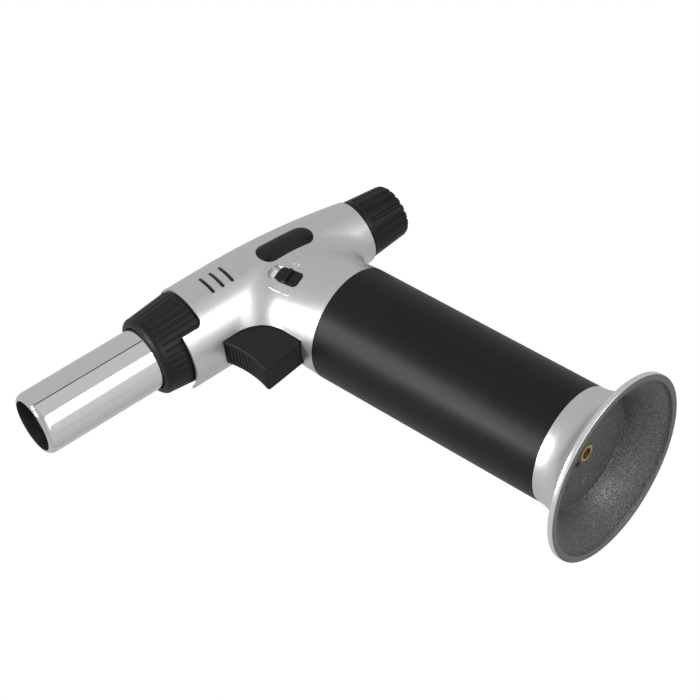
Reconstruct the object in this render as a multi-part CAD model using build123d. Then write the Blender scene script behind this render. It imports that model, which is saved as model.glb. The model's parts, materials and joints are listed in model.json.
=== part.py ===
from build123d import *
import os
from math import atan2, cos, degrees, radians, sin, sqrt

# A hand-held butane torch that stands on its flared base. Millimetres.
# Row frame: the origin is the centre of the base's rest plane, on the handle's axis. +Z runs up
# the handle, +X is the side that the flame leaves by, and +Y is the torch's left side.
# Barrel frame: its Z runs along the tilted barrel from the handle's axis to the mouth, its X is
# the torch's left and its Y is the barrel's up. Places along it are called stations.

# --- clearances -------------------------------------------------------------------------------
FIT = 0.05          # radial, between round pieces that are fixed to each other
RUN = 0.06          # radial, between a shaft and the hole that it turns or slides in
GAP = 0.30          # between faces of pieces that move past each other

# --- handle -----------------------------------------------------------------------------------
SLEEVE_RADIUS = 20.0
SLEEVE_WALL = 1.0
SLEEVE_BOTTOM = 16.5
SLEEVE_LENGTH = 88.9
SLEEVE_TOP = SLEEVE_BOTTOM + SLEEVE_LENGTH
SLEEVE_BORE = SLEEVE_RADIUS - SLEEVE_WALL

# --- flared base ------------------------------------------------------------------------------
RIM_RADIUS = 31.9
RIM_EDGE = 1.8              # height of the rim's upright band
RIM_FACE = 2.3              # width of the flat ring that the torch stands on
RIM_STEP = 1.2              # depth of the step inside that ring
BELL_WALL = 1.5
SPIGOT_LENGTH = 5.5         # the part of the base that plugs into the sleeve
THROAT_RADIUS = SLEEVE_RADIUS - 2.6
PLATE_DEPTH = 11.2          # from the rest plane to the floor of the base
PLATE_FLANGE = 1.2
PLATE_THICKNESS = 3.4
PLATE_SCREW_PLACE = (1.0, -12.3)
PLATE_SCREW_HEAD = 1.5
PLATE_SCREW_SHANK = 0.9
PLATE_SCREW_LENGTH = 5.0
KEY_HOLE_PLACE = (4.4, -1.3)
KEY_HOLE_RADIUS = 1.1

# --- fuel tank --------------------------------------------------------------------------------
TANK_WALL = 2.0
TANK_FLOOR = 3.0
TANK_TOP = SLEEVE_TOP - 7.4
TANK_SIDE_GAP = 0.2
CAP_DISC = 3.0
CAP_PLUG = 3.0
CAP_RING_WALL = 1.6
CAP_RING_RISE = 3.0         # how far the cap's ring reaches up into the head
SEAL_SECTION = 0.75
WICK_RADIUS = 2.2
WICK_BOTTOM = 20.0

# --- fill valve -------------------------------------------------------------------------------
FILL_RADIUS = 2.85
FILL_PROUD = 0.2
FILL_LENGTH = 15.0
FILL_MOUTH_RADIUS = 1.9
FILL_MOUTH_DEPTH = 3.0
FILL_STEM_RADIUS = 0.9
VALVE_WALL = 1.5            # web between a valve's mouth and its chamber
STEM_COLLAR = 1.0
SPRING_WIRE = 0.22

# --- gas outlet valve and its lever -----------------------------------------------------------
OUTLET_X = -6.0
OUTLET_RADIUS = 3.0
OUTLET_BOTTOM = TANK_TOP - 5.0
OUTLET_SHOULDER = SLEEVE_TOP + 0.6
OUTLET_TOP = SLEEVE_TOP + 2.0
OUTLET_NOSE_RADIUS = 1.9
OUTLET_CHAMBER_RADIUS = 1.9
OUTLET_STEM_RADIUS = 0.7
OUTLET_STEM_COLLAR = 1.7
LEVER_PIVOT = (-13.0, SLEEVE_TOP + 4.3)
LEVER_THICKNESS = 1.0
LEVER_WIDTH = 4.4
LEVER_TAIL = 1.6
LEVER_PIN_RADIUS = 0.8
EAR_THICKNESS = 1.0

# --- barrel -----------------------------------------------------------------------------------
AXIS_HEIGHT = SLEEVE_TOP + 34.8      # where the barrel's axis crosses the handle's axis
BARREL_TILT = 11.0          # degrees, mouth end up
HEAD_REAR = -34.6
HEAD_FRONT = 35.3           # front edge over the top
LIP_FRONT = 43.7            # front edge of the lower lip
HEAD_REAR_RADIUS = 11.3
HEAD_FRONT_RADIUS = 16.3
HEAD_TAPER_START = 20.0
BELLY_DROP = 0.5            # how far the shell's own axis has sunk at its front
HEAD_WALL = 2.0
NECK_TOP_HALF_WIDTH = 13.5
NECK_BLEND = 12.5
LIP_CUT_LEVEL = -11.6
LIP_CUT_CORNER = 2.5
LIP_BORE = 15.75
WEB = 1.4
BLOCK_WEB_RADIUS = 13.0     # clear of the igniter below
FRONT_WEB = (33.2, 35.0)

# --- nozzle, burner and air collar ------------------------------------------------------------
NOZZLE_RADIUS = 10.9
NOZZLE_WALL = 1.0
NOZZLE_MOUTH_RADIUS = NOZZLE_RADIUS - 1.8
NOZZLE_MOUTH_LENGTH = 4.0
NOZZLE_REAR = 31.0
NOZZLE_TIP = 96.2
NOZZLE_LIP = 2.4
MOUNT_FLANGE = (29.0, 33.1)
MOUNT_FRONT = 49.0
MOUNT_WALL = 1.0
AIR_STATION = 40.0
AIR_HOLE_RADIUS = 2.0
AIR_HOLES = 4
COLLAR_REAR = 35.7
COLLAR_FRONT = 52.8
COLLAR_REAR_RADIUS = 15.35
COLLAR_FRONT_RADIUS = 13.6
COLLAR_ROUND = 2.0
COLLAR_FLUTES = 36
COLLAR_FLUTE_WIDTH = 0.5
COLLAR_FLUTE_DEPTH = 0.35
BURNER_TUBE_RADIUS = 4.0
BURNER_TUBE_BORE = 3.2
BURNER_REAR = -4.0
BURNER_FRONT = 68.0
BURNER_HEAD = (62.0, 68.0)
ELECTRODE_OFFSET = NOZZLE_RADIUS - 4.4
ELECTRODE_RADIUS = 0.5
ELECTRODE_SPAN = (27.0, 75.0)
INSULATOR_RADIUS = 1.4
INSULATOR_SPAN = (28.5, 61.0)

# --- gas regulator ----------------------------------------------------------------------------
BLOCK_RADIUS = 6.5
BLOCK_SPAN = (-24.0, -6.0)
SPINDLE_RADIUS = 1.6
SPINDLE_SEAT = -13.0
NUT_ACROSS_FLATS = 7.0
NUT_LENGTH = 4.0
NUT_HOLE_CLEARANCE = 0.15
JET_RADIUS = 1.6
JET_TIP = 1.0
KNOB_FRONT = -34.95
KNOB_REAR = -51.4
KNOB_FRONT_RADIUS = 10.75
KNOB_REAR_RADIUS = 9.25
KNOB_ROUND = 2.0
KNOB_BAND = 2.6
KNOB_WALL = 1.8
KNOB_HUB_RADIUS = 3.6
KNOB_GROOVES = 18
KNOB_GROOVE_WIDTH = 0.9
KNOB_GROOVE_DEPTH = 0.5
PIPE_RADIUS = 1.1
PIPE_SIDE = 9.0
PIPE_BEND = 2.2
PIPE_STATION = -11.0
PIPE_HEIGHT = SLEEVE_TOP - 1.4

# --- trigger and igniter ----------------------------------------------------------------------
TRIGGER_TRAVEL = 6.0
TRIGGER_HALF_WIDTH = 5.0
TRIGGER_BOTTOM = SLEEVE_TOP + 4.8
TRIGGER_BACK = 9.0
TRIGGER_TOE_X = 35.5
TRIGGER_WAIST_X = 33.6
TRIGGER_BROW_X = 34.2
TRIGGER_WAIST_Z = SLEEVE_TOP + 14.6
TRIGGER_BROW_Z = SLEEVE_TOP + 25.0
TRIGGER_BACK_TOP_Z = SLEEVE_TOP + 19.6
TRIGGER_EDGE = 0.6
TRIGGER_TOE_ROUND = 1.0
FLANGE_HALF_WIDTH = 6.6
FLANGE_FRONT = 15.9
FLANGE_SPAN = (SLEEVE_TOP + 6.6, SLEEVE_TOP + 18.6)
WEDGE_BOTTOM = SLEEVE_TOP + 1.4
WEDGE_HALF_WIDTH = 2.2
VALVE_LIFT = 0.78
IGNITER_HEIGHT = SLEEVE_TOP + 15.6
IGNITER_RADIUS = 4.2
IGNITER_SPAN = (-16.0, -0.5)
PLUNGER_RADIUS = 2.4
PLUNGER_REAR = -7.0
IGNITER_FLOOR = 1.5
IGNITER_WEB = -12.6

# --- lock slider ------------------------------------------------------------------------------
LOCK_CENTRE = (6.6, 15.35, SLEEVE_TOP + 19.9)
LOCK_LEAN = (0.288, 0.943, 0.168)       # outward normal of the head's flank there
LOCK_TRAVEL = 3.0
LOCK_WIDTH = 5.2
LOCK_LENGTH = 9.4
LOCK_POCKET = 1.3
LOCK_PROUD = 0.5
LOCK_RIDGE = 0.8
LOCK_RIDGE_LENGTH = 1.6
LOCK_ARM = (5.6, 7.6)
LOCK_ARM_Y = (11.3, 12.7)
LOCK_TONGUE_Z = (SLEEVE_TOP + 3.5, SLEEVE_TOP + 6.2)
LOCK_TONGUE_TIP = 5.8

# --- side inserts, air slots and shell screws -------------------------------------------------
INSERT_STATION = -5.0
INSERT_LEVEL = -2.0
INSERT_LENGTH = 21.6
INSERT_HEIGHT = 8.6
INSERT_DEPTH = 1.2          # of the recess, below the head's skin
INSERT_RECESS = 0.35
INSERT_GAP = 0.1
SLOT_STATIONS = (18.2, 22.0, 25.9)
SLOT_LEVEL = -1.0
SLOT_LENGTH = 8.4
SLOT_WIDTH = 1.2
SCREW_SHANK = 1.1
SCREW_HEAD = 2.2
SCREW_HEAD_DEPTH = 1.8
SCREW_TIP = 6.0
BOSS_RADIUS = 2.3
WIDE = 80.0                 # longer than the torch is wide, for cuts that pass right through

TILT = radians(BARREL_TILT)
BARREL = Plane(origin=(0, 0, AXIS_HEIGHT), x_dir=(0, 1, 0), z_dir=(cos(TILT), 0, sin(TILT)))
# The shell's own axis starts at the centre of its rear end and sinks below the barrel's axis.
BELLY_TILT = TILT - atan2(BELLY_DROP, HEAD_FRONT - HEAD_REAR)
BELLY = Plane(origin=BARREL.from_local_coords((0, 0, HEAD_REAR)), x_dir=(0, 1, 0),
              z_dir=(cos(BELLY_TILT), 0, sin(BELLY_TILT)))
SIDE_VIEW = Plane(origin=BARREL.origin, x_dir=BARREL.z_dir, z_dir=BARREL.z_dir.cross(BARREL.y_dir))
LOCK_FACE = Plane(origin=LOCK_CENTRE, x_dir=(1, 0, 0), z_dir=LOCK_LEAN)
LOCK_WAY = LOCK_FACE.y_dir if LOCK_FACE.y_dir.Z > 0 else -LOCK_FACE.y_dir


def barrel_point(left, up, station):
    """A place in the row frame, from its left and up offsets at a station of the barrel."""
    return BARREL.from_local_coords((left, up, station))


# Shell screws: place in the side view (X, Z) and how far their head's seat is from the seam.
SCREWS = (
    ((barrel_point(0, 10.4, 20).X, barrel_point(0, 10.4, 20).Z), 9.5),
    ((barrel_point(0, -7.0, -28).X, barrel_point(0, -7.0, -28).Z), 7.0),
    ((-13.5, SLEEVE_TOP + 8.6), 12.5),
)


def turned(points, frame=Plane.XY):
    """Turn a closed outline of (radius, height) points about a frame's Z axis."""
    outline = Plane.XZ * make_face(Polyline(*points, close=True))
    return frame * revolve(outline, Axis.Z)


def rod(radius, low, high, frame=Plane.XY):
    """A round bar between two heights of a frame."""
    bar = Pos(0, 0, low) * Cylinder(radius, high - low, align=(Align.CENTER, Align.CENTER, Align.MIN))
    return frame * bar


def tube(outer, inner, low, high, frame=Plane.XY):
    """A round tube between two heights of a frame."""
    return rod(outer, low, high, frame) - rod(inner, low, high, frame)


def block(low, high):
    """A box between two opposite corners in the row frame."""
    size = [b - a for a, b in zip(low, high)]
    middle = [(a + b) / 2 for a, b in zip(low, high)]
    return Pos(*middle) * Box(*size)


def cross_rod(radius, x, z, low_y, high_y):
    """A round bar along Y at a place in the side view."""
    frame = Plane(origin=(x, 0, z), x_dir=(1, 0, 0), z_dir=(0, 1, 0))
    return rod(radius, low_y, high_y, frame)


def long_rod(radius, low_x, high_x, z):
    """A round bar along X in the middle plane."""
    frame = Plane(origin=(0, 0, z), x_dir=(0, 1, 0), z_dir=(1, 0, 0))
    return rod(radius, low_x, high_x, frame)


def coil(radius, low, high, turns, frame=Plane.XY):
    """A compression spring of round wire, between two heights of a frame."""
    rise = high - low - 2 * SPRING_WIRE
    path = Pos(0, 0, low + SPRING_WIRE) * Helix(rise / turns, rise, radius)
    section = Plane(origin=path @ 0, z_dir=path % 0) * Circle(SPRING_WIRE)
    return frame * sweep(section, path=path)


def swept_rod(radius, points, bend):
    """A round bar along straight runs with rounded corners."""
    path = FilletPolyline(*points, radius=bend)
    section = Plane(origin=path @ 0, z_dir=path % 0) * Circle(radius)
    return sweep(section, path=path)


def lengthwise_grooves(count, width, depth, start, end, frame):
    """Straight grooves round a cone; start and end are (radius, height) on its surface."""
    lean = degrees(atan2(end[0] - start[0], end[1] - start[1]))
    length = sqrt((end[0] - start[0]) ** 2 + (end[1] - start[1]) ** 2)
    middle = ((start[0] + end[0]) / 2, (start[1] + end[1]) / 2)
    cutter = Pos(middle[0], 0, middle[1]) * Rot(Y=lean) * Box(2 * depth, width, length)
    return [frame * Rot(Z=360 * turn / count) * cutter for turn in range(count)]


# --- base and handle --------------------------------------------------------------------------
def flare(offset=0.0):
    """Radius and centre of the base's flare; its inside is the same arc, a wall further out."""
    reach = RIM_RADIUS - SLEEVE_RADIUS
    drop = SLEEVE_BOTTOM - RIM_EDGE
    radius = (reach ** 2 + drop ** 2) / (2 * reach)
    return radius + offset, (SLEEVE_RADIUS + radius, SLEEVE_BOTTOM)


def flare_radius_at(height, offset=0.0):
    """How far the flare stands from the handle's axis at a height."""
    radius, centre = flare(offset)
    return centre[0] - sqrt(radius ** 2 - (centre[1] - height) ** 2)


def flare_arc(low, high, offset=0.0):
    """The flare's outline between two heights."""
    middle = (low + high) / 2
    ends = [(flare_radius_at(height, offset), height) for height in (low, middle, high)]
    return ThreePointArc(*ends)


def base_bell():
    """The flared foot, with the spigot that plugs into the sleeve."""
    step_radius = RIM_RADIUS - RIM_FACE
    seat = PLATE_DEPTH + PLATE_FLANGE
    inside_top = flare_radius_at(PLATE_DEPTH, BELL_WALL)
    spigot_radius = SLEEVE_BORE - FIT
    spigot_top = SLEEVE_BOTTOM + SPIGOT_LENGTH
    outside = flare_arc(RIM_EDGE, SLEEVE_BOTTOM)
    inside = flare_arc(RIM_STEP, PLATE_DEPTH, BELL_WALL)
    rim = Polyline((flare_radius_at(RIM_EDGE), RIM_EDGE), (RIM_RADIUS, 0), (step_radius, 0),
                   (step_radius, RIM_STEP), (flare_radius_at(RIM_STEP, BELL_WALL), RIM_STEP))
    top = Polyline((inside_top, PLATE_DEPTH), (plate_radius() + FIT, PLATE_DEPTH),
                   (plate_radius() + FIT, seat), (THROAT_RADIUS, seat), (THROAT_RADIUS, spigot_top),
                   (spigot_radius, spigot_top), (spigot_radius, SLEEVE_BOTTOM),
                   (SLEEVE_RADIUS, SLEEVE_BOTTOM))
    outline = Plane.XZ * make_face(outside + rim + inside + top)
    return revolve(outline, Axis.Z)


def plate_radius():
    """The plate fills the flat floor of the flare."""
    return flare_radius_at(PLATE_DEPTH, BELL_WALL) - 0.1


def plate_screw_at(low, high, radius):
    """A round bar on the plate screw's axis."""
    return Pos(*PLATE_SCREW_PLACE) * rod(radius, low, high)


def base_plate():
    """The floor of the base, clamped between the bell and the tank."""
    seat = PLATE_DEPTH + PLATE_FLANGE
    plate = rod(plate_radius(), PLATE_DEPTH, seat) + rod(THROAT_RADIUS - FIT, seat, plate_top())
    plate -= rod(FILL_RADIUS + FIT, PLATE_DEPTH, plate_top())
    plate -= plate_screw_at(PLATE_DEPTH, seat, PLATE_SCREW_HEAD + FIT)
    plate -= plate_screw_at(seat, plate_top(), PLATE_SCREW_SHANK + FIT)
    return plate - Pos(*KEY_HOLE_PLACE) * rod(KEY_HOLE_RADIUS, PLATE_DEPTH, seat)


def plate_top():
    """Where the tank's foot rests on the plate."""
    return PLATE_DEPTH + PLATE_THICKNESS


def plate_screw():
    """The cross-head screw that keeps the plate from turning."""
    seat = PLATE_DEPTH + PLATE_FLANGE
    screw = plate_screw_at(PLATE_DEPTH + 0.2, seat, PLATE_SCREW_HEAD)
    screw += plate_screw_at(seat, seat + PLATE_SCREW_LENGTH, PLATE_SCREW_SHANK)
    slot = Pos(*PLATE_SCREW_PLACE, PLATE_DEPTH + 0.2)
    return screw - slot * Box(0.5, 2.0, 1.0) - slot * Box(2.0, 0.5, 1.0)


def handle_sleeve():
    """The black outer sleeve of the handle."""
    return tube(SLEEVE_RADIUS, SLEEVE_BORE, SLEEVE_BOTTOM, SLEEVE_TOP)


def tank_radius():
    """Outer radius of the fuel tank, a slide fit in the sleeve."""
    return SLEEVE_BORE - TANK_SIDE_GAP


def tank_body():
    """The fuel tank: a closed-bottomed can whose foot plugs into the base."""
    shoulder = SLEEVE_BOTTOM + SPIGOT_LENGTH
    foot = THROAT_RADIUS - FIT
    can = rod(foot, plate_top(), shoulder) + rod(tank_radius(), shoulder, TANK_TOP)
    can -= rod(tank_bore(), shoulder + TANK_WALL, TANK_TOP)
    can -= rod(foot - TANK_WALL, plate_top() + TANK_FLOOR, shoulder + TANK_WALL)
    can -= rod(FILL_RADIUS + FIT, plate_top(), plate_top() + TANK_FLOOR)
    boss = plate_screw_at(plate_top() + TANK_FLOOR, plate_top() + TANK_FLOOR + 3.0, 2.0)
    return can + boss - plate_screw_at(plate_top(), screw_hole_end(), PLATE_SCREW_SHANK + FIT)


def screw_hole_end():
    """The plate screw's blind hole is a little deeper than the screw."""
    return PLATE_DEPTH + PLATE_FLANGE + PLATE_SCREW_LENGTH + GAP


def tank_bore():
    """Inner radius of the tank."""
    return tank_radius() - TANK_WALL


def cap_ring_radius():
    """Outer radius of the ring that centres the head on the handle."""
    return SLEEVE_RADIUS - HEAD_WALL - GAP


def tank_cap():
    """The tank's lid, whose ring centres the head on the handle."""
    plug = tank_bore() - FIT
    ring = cap_ring_radius()
    disc_top = TANK_TOP + CAP_DISC
    cap = rod(plug, TANK_TOP - CAP_PLUG, TANK_TOP) + rod(tank_radius(), TANK_TOP, SLEEVE_TOP)
    cap += rod(ring, SLEEVE_TOP, SLEEVE_TOP + CAP_RING_RISE)
    cap -= rod(ring - CAP_RING_WALL, disc_top, SLEEVE_TOP + CAP_RING_RISE)
    cap -= tube(plug, plug - 2 * SEAL_SECTION, seal_height() - SEAL_SECTION, seal_height() + SEAL_SECTION)
    return cap - Pos(OUTLET_X, 0, 0) * rod(OUTLET_RADIUS + FIT, TANK_TOP - CAP_PLUG, disc_top)


def seal_height():
    """The O-ring sits in the middle of the cap's plug."""
    return TANK_TOP - CAP_PLUG / 2


def tank_seal():
    """The O-ring between the tank and its cap."""
    major = tank_bore() - FIT - SEAL_SECTION
    return Pos(0, 0, seal_height()) * Torus(major, SEAL_SECTION - FIT)


def wick():
    """The felt wick that feeds the outlet valve."""
    return Pos(OUTLET_X, 0, 0) * rod(WICK_RADIUS, WICK_BOTTOM, OUTLET_BOTTOM)


# --- fill valve -------------------------------------------------------------------------------
def fill_bottom():
    """The valve's mouth stands a little below the plate."""
    return PLATE_DEPTH - FILL_PROUD


def fill_chamber():
    """Heights between which the fill valve is hollow."""
    low = fill_bottom() + FILL_MOUTH_DEPTH + VALVE_WALL
    return low, fill_bottom() + FILL_LENGTH - VALVE_WALL


def fill_valve_body():
    """The brass fill valve in the middle of the base."""
    low, high = fill_chamber()
    body = rod(FILL_RADIUS, fill_bottom(), fill_bottom() + FILL_LENGTH)
    body -= rod(FILL_MOUTH_RADIUS, fill_bottom(), fill_bottom() + FILL_MOUTH_DEPTH)
    body -= rod(FILL_STEM_RADIUS + RUN, fill_bottom() + FILL_MOUTH_DEPTH, low)
    body -= rod(FILL_MOUTH_RADIUS, low, high)
    return body - rod(FILL_STEM_RADIUS, high, fill_bottom() + FILL_LENGTH)


def fill_seal():
    """The rubber washer that the stem's collar closes against."""
    low = fill_chamber()[0]
    return tube(FILL_MOUTH_RADIUS - FIT, FILL_STEM_RADIUS + RUN, low, low + SEAL_SECTION)


def fill_stem():
    """The stem that a refill nozzle pushes in."""
    low = fill_chamber()[0] + SEAL_SECTION + RUN
    stem = rod(FILL_STEM_RADIUS, fill_bottom() + FILL_MOUTH_DEPTH + RUN, low)
    stem += rod(FILL_MOUTH_RADIUS - GAP, low, low + STEM_COLLAR)
    return stem + rod(FILL_STEM_RADIUS - GAP, low + STEM_COLLAR, low + 3 * STEM_COLLAR)


def fill_spring():
    """The spring that shuts the fill valve."""
    low, high = fill_chamber()
    return coil(1.3, low + SEAL_SECTION + RUN + STEM_COLLAR, high, 6)


# --- outlet valve, lever and igniter ----------------------------------------------------------
OUTLET = Plane(origin=(OUTLET_X, 0, 0))


def outlet_chamber():
    """Heights between which the outlet valve is hollow."""
    return OUTLET_BOTTOM + VALVE_WALL, OUTLET_SHOULDER - 1.0


def outlet_valve_body():
    """The brass valve that lets gas out of the tank."""
    low, high = outlet_chamber()
    body = rod(OUTLET_RADIUS, OUTLET_BOTTOM, OUTLET_SHOULDER, OUTLET)
    body += rod(OUTLET_NOSE_RADIUS, OUTLET_SHOULDER, OUTLET_TOP, OUTLET)
    body -= rod(OUTLET_STEM_RADIUS, OUTLET_BOTTOM, low, OUTLET)
    body -= rod(OUTLET_CHAMBER_RADIUS, low, high, OUTLET)
    return body - rod(OUTLET_STEM_RADIUS + RUN, high, OUTLET_TOP, OUTLET)


def lever_top():
    """Upper face of the gas lever at rest."""
    return LEVER_PIVOT[1] + LEVER_THICKNESS / 2


def outlet_stem():
    """The valve stem that the gas lever lifts by its collar."""
    low = outlet_chamber()[0] + RUN
    collar = lever_top() + 0.5
    stem = rod(OUTLET_STEM_RADIUS, low, collar, OUTLET)
    stem += rod(OUTLET_CHAMBER_RADIUS - GAP, low, low + STEM_COLLAR, OUTLET)
    return stem + rod(OUTLET_STEM_COLLAR, collar, collar + 0.6, OUTLET)


def outlet_spring():
    """The spring that shuts the outlet valve."""
    low, high = outlet_chamber()
    return coil(1.3, low + RUN + STEM_COLLAR, high, 7, OUTLET)


def lever_tip_x():
    """The lever ends just behind the trigger's back face when the trigger is fully pulled."""
    return TRIGGER_BACK - TRIGGER_TRAVEL - GAP


def wedge_tip_x():
    """The wedge ends just in front of the outlet valve's nose when the trigger is fully pulled."""
    return OUTLET_X + OUTLET_NOSE_RADIUS + GAP + TRIGGER_TRAVEL


def gas_lever():
    """The sheet-metal lever that the trigger's wedge raises."""
    x, z = LEVER_PIVOT
    half = LEVER_THICKNESS / 2
    bar = block((x - LEVER_TAIL, -LEVER_WIDTH / 2, z - half), (lever_tip_x(), LEVER_WIDTH / 2, z + half))
    knuckle = cross_rod(LEVER_PIN_RADIUS + 0.8, x, z, -LEVER_WIDTH / 2, LEVER_WIDTH / 2)
    lever = bar + knuckle - cross_rod(LEVER_PIN_RADIUS + RUN, x, z, -WIDE, WIDE)
    return lever - rod(OUTLET_STEM_RADIUS + 0.5, z - half, z + half, OUTLET)


def ear_middle():
    """How far each ear of the lever bracket stands from the middle plane."""
    return LEVER_WIDTH / 2 + GAP + EAR_THICKNESS / 2


def lever_bracket():
    """The folded bracket that carries the lever's pin."""
    x, z = LEVER_PIVOT
    floor = TANK_TOP + CAP_DISC
    side = ear_middle() + EAR_THICKNESS / 2
    bracket = block((x - 2, -side, floor), (x + 2, side, floor + EAR_THICKNESS))
    for hand in (-1, 1):
        low = min(hand * (side - EAR_THICKNESS), hand * side)
        bracket += block((x - 2, low, floor), (x + 2, low + EAR_THICKNESS, z + 1.6))
    return bracket - cross_rod(LEVER_PIN_RADIUS + FIT, x, z, -WIDE, WIDE)


def lever_pin():
    """The pin that the gas lever turns on."""
    side = ear_middle() + EAR_THICKNESS
    return cross_rod(LEVER_PIN_RADIUS, *LEVER_PIVOT, -side, side)


def igniter_bore():
    """Radius of the bore that the plunger slides in."""
    return PLUNGER_RADIUS + RUN


def igniter_body():
    """The piezo igniter's case, fixed behind the trigger."""
    case = long_rod(IGNITER_RADIUS, *IGNITER_SPAN, IGNITER_HEIGHT)
    return case - long_rod(igniter_bore(), IGNITER_SPAN[0] + IGNITER_FLOOR, IGNITER_SPAN[1], IGNITER_HEIGHT)


def igniter_plunger():
    """The plunger that the trigger drives into the igniter."""
    return long_rod(PLUNGER_RADIUS, PLUNGER_REAR, TRIGGER_BACK, IGNITER_HEIGHT)


def igniter_spring():
    """The spring inside the igniter that pushes the trigger back out."""
    frame = Plane(origin=(0, 0, IGNITER_HEIGHT), x_dir=(0, 1, 0), z_dir=(1, 0, 0))
    return coil(1.7, IGNITER_SPAN[0] + IGNITER_FLOOR, PLUNGER_REAR, 7, frame)


def ignition_lead():
    """The insulated wire from the igniter to the electrode, inside the head."""
    side = -PIPE_SIDE
    x = -10.0
    points = [(x, -IGNITER_RADIUS, IGNITER_HEIGHT), (x, side, IGNITER_HEIGHT),
              barrel_point(side, 0, 4), barrel_point(0, ELECTRODE_OFFSET, 17),
              barrel_point(0, ELECTRODE_OFFSET, ELECTRODE_SPAN[0])]
    return swept_rod(0.7, points, 2.4)


# --- trigger ----------------------------------------------------------------------------------
def lever_slope():
    """How fast the lever's tip rises for each millimetre of trigger travel."""
    arm = lever_tip_x() - LEVER_PIVOT[0]
    stem_arm = OUTLET_X - LEVER_PIVOT[0]
    return VALVE_LIFT * arm / stem_arm / TRIGGER_TRAVEL


def wedge():
    """The ramp on the trigger's tail that runs under the gas lever."""
    under_tip = lever_top() - LEVER_THICKNESS - GAP
    low_end = under_tip + (wedge_tip_x() - lever_tip_x()) * lever_slope()
    high_end = under_tip + (TRIGGER_BACK - lever_tip_x()) * lever_slope()
    outline = Polyline((wedge_tip_x(), WEDGE_BOTTOM), (wedge_tip_x(), low_end), (TRIGGER_BACK, high_end),
                       (FLANGE_FRONT - 1.5, TRIGGER_BOTTOM + 1), (FLANGE_FRONT - 1.5, WEDGE_BOTTOM),
                       close=True)
    return extrude(Plane.XZ * make_face(outline), WEDGE_HALF_WIDTH, both=True)


def trigger():
    """The pull trigger, with the flange that keeps it in the head and the wedge on its tail."""
    toe = (TRIGGER_TOE_X, TRIGGER_BOTTOM + 0.8)
    brow = (TRIGGER_BROW_X, TRIGGER_BROW_Z)
    pull = ThreePointArc(toe, (TRIGGER_WAIST_X, TRIGGER_WAIST_Z), brow)
    back = Polyline(brow, (20.0, TRIGGER_BROW_Z - 2.4), (TRIGGER_BACK, TRIGGER_BACK_TOP_Z),
                    (TRIGGER_BACK, TRIGGER_BOTTOM), (20.0, TRIGGER_BOTTOM), toe)
    outline = make_face(pull + back)
    outline = fillet(outline.vertices().sort_by(Axis.X)[-1], TRIGGER_TOE_ROUND)
    finger_pad = extrude(Plane.XZ * outline, TRIGGER_HALF_WIDTH, both=True)
    outer = [edge for edge in finger_pad.edges() if edge.center().X > TRIGGER_BACK + 1
             and abs(abs(edge.center().Y) - TRIGGER_HALF_WIDTH) < FIT]
    finger_pad = fillet(outer, TRIGGER_EDGE)
    side = FLANGE_HALF_WIDTH
    flange = block((TRIGGER_BACK, -side, FLANGE_SPAN[0]), (FLANGE_FRONT, side, FLANGE_SPAN[1]))
    notch_low = LOCK_ARM[0] + TRIGGER_TRAVEL - GAP
    notch_high = LOCK_ARM[1] + TRIGGER_TRAVEL + GAP
    notch_top = LOCK_TONGUE_Z[1] + LOCK_TRAVEL + GAP
    notch = block((notch_low, TRIGGER_HALF_WIDTH, FLANGE_SPAN[0]), (notch_high, side, notch_top))
    return finger_pad + (flange - notch) + wedge()


# --- lock slider ------------------------------------------------------------------------------
def lock_pad(length, width, low, high, shift=0.0):
    """A rounded pad on the lock's face, shifted along the way that the lock slides."""
    outline = RectangleRounded(width, length, 0.3 * min(width, length))
    pad = LOCK_FACE * Pos(0, 0, low) * extrude(outline, high - low)
    return Pos(*(LOCK_WAY * shift)) * pad


def lock_pocket():
    """The recess that the lock slider moves in."""
    length = LOCK_LENGTH + LOCK_TRAVEL + 2 * GAP
    return lock_pad(length, LOCK_WIDTH + 2 * GAP, -LOCK_POCKET, 8, LOCK_TRAVEL / 2)


def lock_window():
    """The slot through the head's wall for the lock's arm."""
    low, high = LOCK_ARM
    return block((low - GAP, 8.0, LOCK_CENTRE[2] - 4.0),
                 (high + GAP, 18.0, LOCK_CENTRE[2] + 3.0 + LOCK_TRAVEL))


def lock_slider():
    """The lock button, its arm inside the head and the tongue that holds the trigger in."""
    button = lock_pad(LOCK_LENGTH, LOCK_WIDTH, RUN - LOCK_POCKET, LOCK_PROUD)
    button += lock_pad(LOCK_RIDGE_LENGTH, LOCK_WIDTH, LOCK_PROUD, LOCK_PROUD + LOCK_RIDGE)
    low, high = LOCK_ARM
    inner, outer = LOCK_ARM_Y
    z = LOCK_CENTRE[2]
    stalk = block((low, inner, z - 3.0), (high, 15.0, z + 1.5))
    arm = block((low, inner, LOCK_TONGUE_Z[0]), (high, outer, z + 1.5))
    tongue = block((low, LOCK_TONGUE_TIP, LOCK_TONGUE_Z[0]), (high, outer, LOCK_TONGUE_Z[1]))
    above_face = lock_pad(LOCK_LENGTH * 2, LOCK_WIDTH * 2, -0.3, 8)
    return button + (stalk - above_face) + arm + tongue


# --- head shells ------------------------------------------------------------------------------
def head_radius(station, inset=0.0):
    """Radius of the barrel part of the head: straight in front, then one long arc to the rear."""
    length = HEAD_TAPER_START - HEAD_REAR
    drop = HEAD_FRONT_RADIUS - HEAD_REAR_RADIUS
    arc = (length ** 2 + drop ** 2) / (2 * drop)
    back = max(HEAD_TAPER_START - station, 0.0)
    return HEAD_FRONT_RADIUS - inset - (arc - sqrt(arc ** 2 - back ** 2))


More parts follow.
